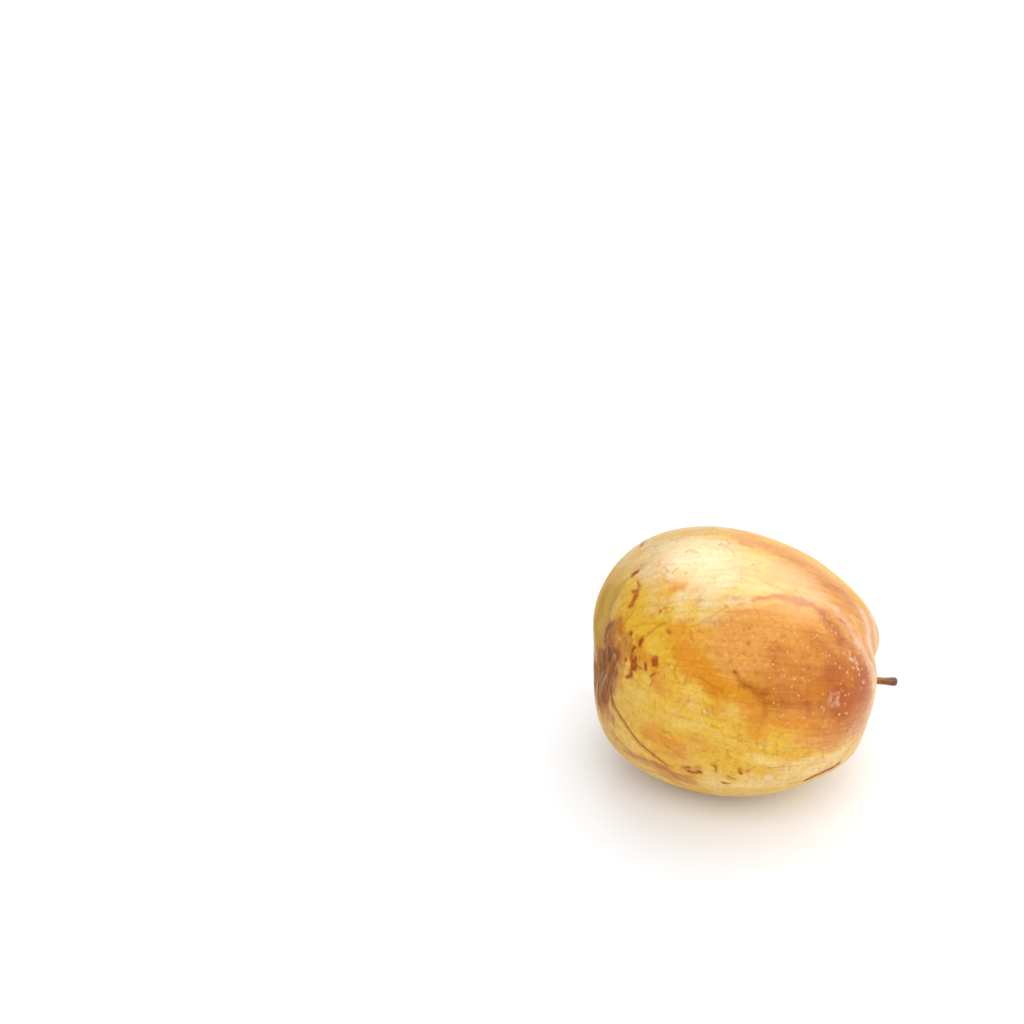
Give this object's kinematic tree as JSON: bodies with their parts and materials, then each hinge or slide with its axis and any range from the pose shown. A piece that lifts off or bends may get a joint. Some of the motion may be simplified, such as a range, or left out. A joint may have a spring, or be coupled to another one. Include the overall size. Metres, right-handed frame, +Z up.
{
  "type": "jujube fruit",
  "caption": "Ripe Indian jujube lying on its side: a plump, faintly lobed fruit with a stalk pit, shallow end furrows and a short dry stalk.",
  "frame": {"origin": "on the small flat spot under the fruit, at floor level", "axes": "+X toward the stalk end, +Z up out of the floor, -Y toward the side that the picture shows"},
  "size_m": [0.0493, 0.0442, 0.0404],
  "materials": {
    "jujube_skin": "waxy, half-gloss fruit skin",
    "dry_stalk": "dry and matt"
  },
  "bodies": {
    "root": {"fruit": "jujube_skin", "stalk": "dry_stalk"}
  },
  "joints": []
}
